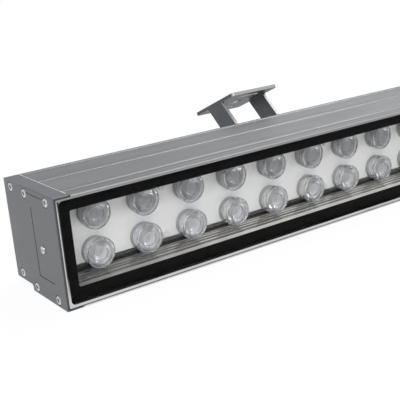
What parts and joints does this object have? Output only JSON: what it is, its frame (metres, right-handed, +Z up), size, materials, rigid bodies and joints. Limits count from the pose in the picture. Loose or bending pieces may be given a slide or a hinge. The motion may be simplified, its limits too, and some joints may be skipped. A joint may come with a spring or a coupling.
{
  "type": "outdoor wall washer light",
  "caption": "Linear outdoor wall washer light: aluminium body, two rows of lenses behind black-edged glass, end caps, cable gland and tilting slotted brackets.",
  "frame": {"origin": "bottom centre of the overall bounding box", "axes": "+X along the light from the left end cap to the cable gland, +Y from the glass front to the brackets at the back, +Z up"},
  "size_m": [1.0212, 0.1636, 0.1009],
  "materials": {
    "anodised_aluminium": "satin",
    "cap_aluminium": "satin",
    "bright_aluminium": "satin",
    "black_rubber": "matte",
    "light_silicone": "satin",
    "white_lacquer": "satin",
    "stainless": "satin",
    "clear_glass": "gloss",
    "black_print": "gloss",
    "white_solder_mask": "satin",
    "grey_pad": "matte",
    "white_plastic": "matte",
    "led_phosphor": "gloss",
    "clear_acrylic": "gloss",
    "galvanised_steel": "satin",
    "driver_steel": "satin",
    "green_board": "satin",
    "nylon": "satin",
    "ferrite": "matte",
    "capacitor_sleeve": "gloss",
    "black_plastic": "matte",
    "red_lead": "satin",
    "nickel_brass": "satin",
    "bracket_paint": "satin"
  },
  "bodies": {
    "housing": {"housing": "anodised_aluminium", "end_cap_left": "cap_aluminium", "end_cap_right": "cap_aluminium", "end_gasket_left": "light_silicone", "end_gasket_right": "light_silicone", "end_cap_screws_left": "stainless", "end_cap_screws_right": "stainless", "test_port_screw": "stainless", "glass_frame": "bright_aluminium", "front_glass": "clear_glass", "glass_border": "black_print", "glass_seal": "black_rubber", "led_board_left": "white_solder_mask", "led_board_right": "white_solder_mask", "thermal_pad_left": "grey_pad", "thermal_pad_right": "grey_pad", "board_socket_left": "white_plastic", "board_socket_right": "white_plastic", "board_screws": "white_lacquer", "led_emitters": "led_phosphor", "lens_holders": "white_plastic", "lenses_lower_row": "clear_acrylic", "lenses_upper_row": "clear_acrylic", "driver_tray": "galvanised_steel", "driver_case": "driver_steel", "driver_lid": "driver_steel", "driver_board": "green_board", "driver_standoffs": "nylon", "driver_transformer": "ferrite", "driver_capacitors": "capacitor_sleeve", "driver_chokes": "ferrite", "driver_transistors": "black_plastic", "driver_clips": "galvanised_steel", "clip_screws": "stainless", "terminal_block": "nylon", "terminal_screws": "stainless", "mains_leads": "red_lead", "board_leads": "red_lead", "lead_grommet": "black_rubber", "gland_body": "nickel_brass", "gland_washer": "black_rubber", "gland_locknut": "nickel_brass", "gland_seal": "black_rubber", "gland_nut": "nickel_brass"},
    "hinge_base_left": {"hinge_block_left": "bracket_paint", "block_screws_left": "stainless", "slot_nut_left": "stainless", "friction_washers_left": "black_rubber", "pivot_washers_left": "stainless", "lock_washers_left": "stainless", "pivot_bolts_left": "stainless"},
    "bracket_left": {"bracket_left": "bracket_paint"},
    "hinge_base_right": {"hinge_block_right": "bracket_paint", "block_screws_right": "stainless", "slot_nut_right": "stainless", "friction_washers_right": "black_rubber", "pivot_washers_right": "stainless", "lock_washers_right": "stainless", "pivot_bolts_right": "stainless"},
    "bracket_right": {"bracket_right": "bracket_paint"}
  },
  "joints": [
    {"name": "left_slide", "type": "slide", "parent": "housing", "child": "hinge_base_left", "axis": [1, 0, 0], "range_m": [-0.18, 0.18]},
    {"name": "left_tilt", "type": "hinge", "parent": "hinge_base_left", "child": "bracket_left", "pos_m": [-0.25985, 0.01421, 0.0545], "axis": [1, 0, 0], "range_deg": [-130, 50]},
    {"name": "right_slide", "type": "slide", "parent": "housing", "child": "hinge_base_right", "axis": [1, 0, 0], "range_m": [-0.18, 0.18]},
    {"name": "right_tilt", "type": "hinge", "parent": "hinge_base_right", "child": "bracket_right", "pos_m": [0.24015, 0.01421, 0.0545], "axis": [1, 0, 0], "range_deg": [-130, 50]}
  ]
}
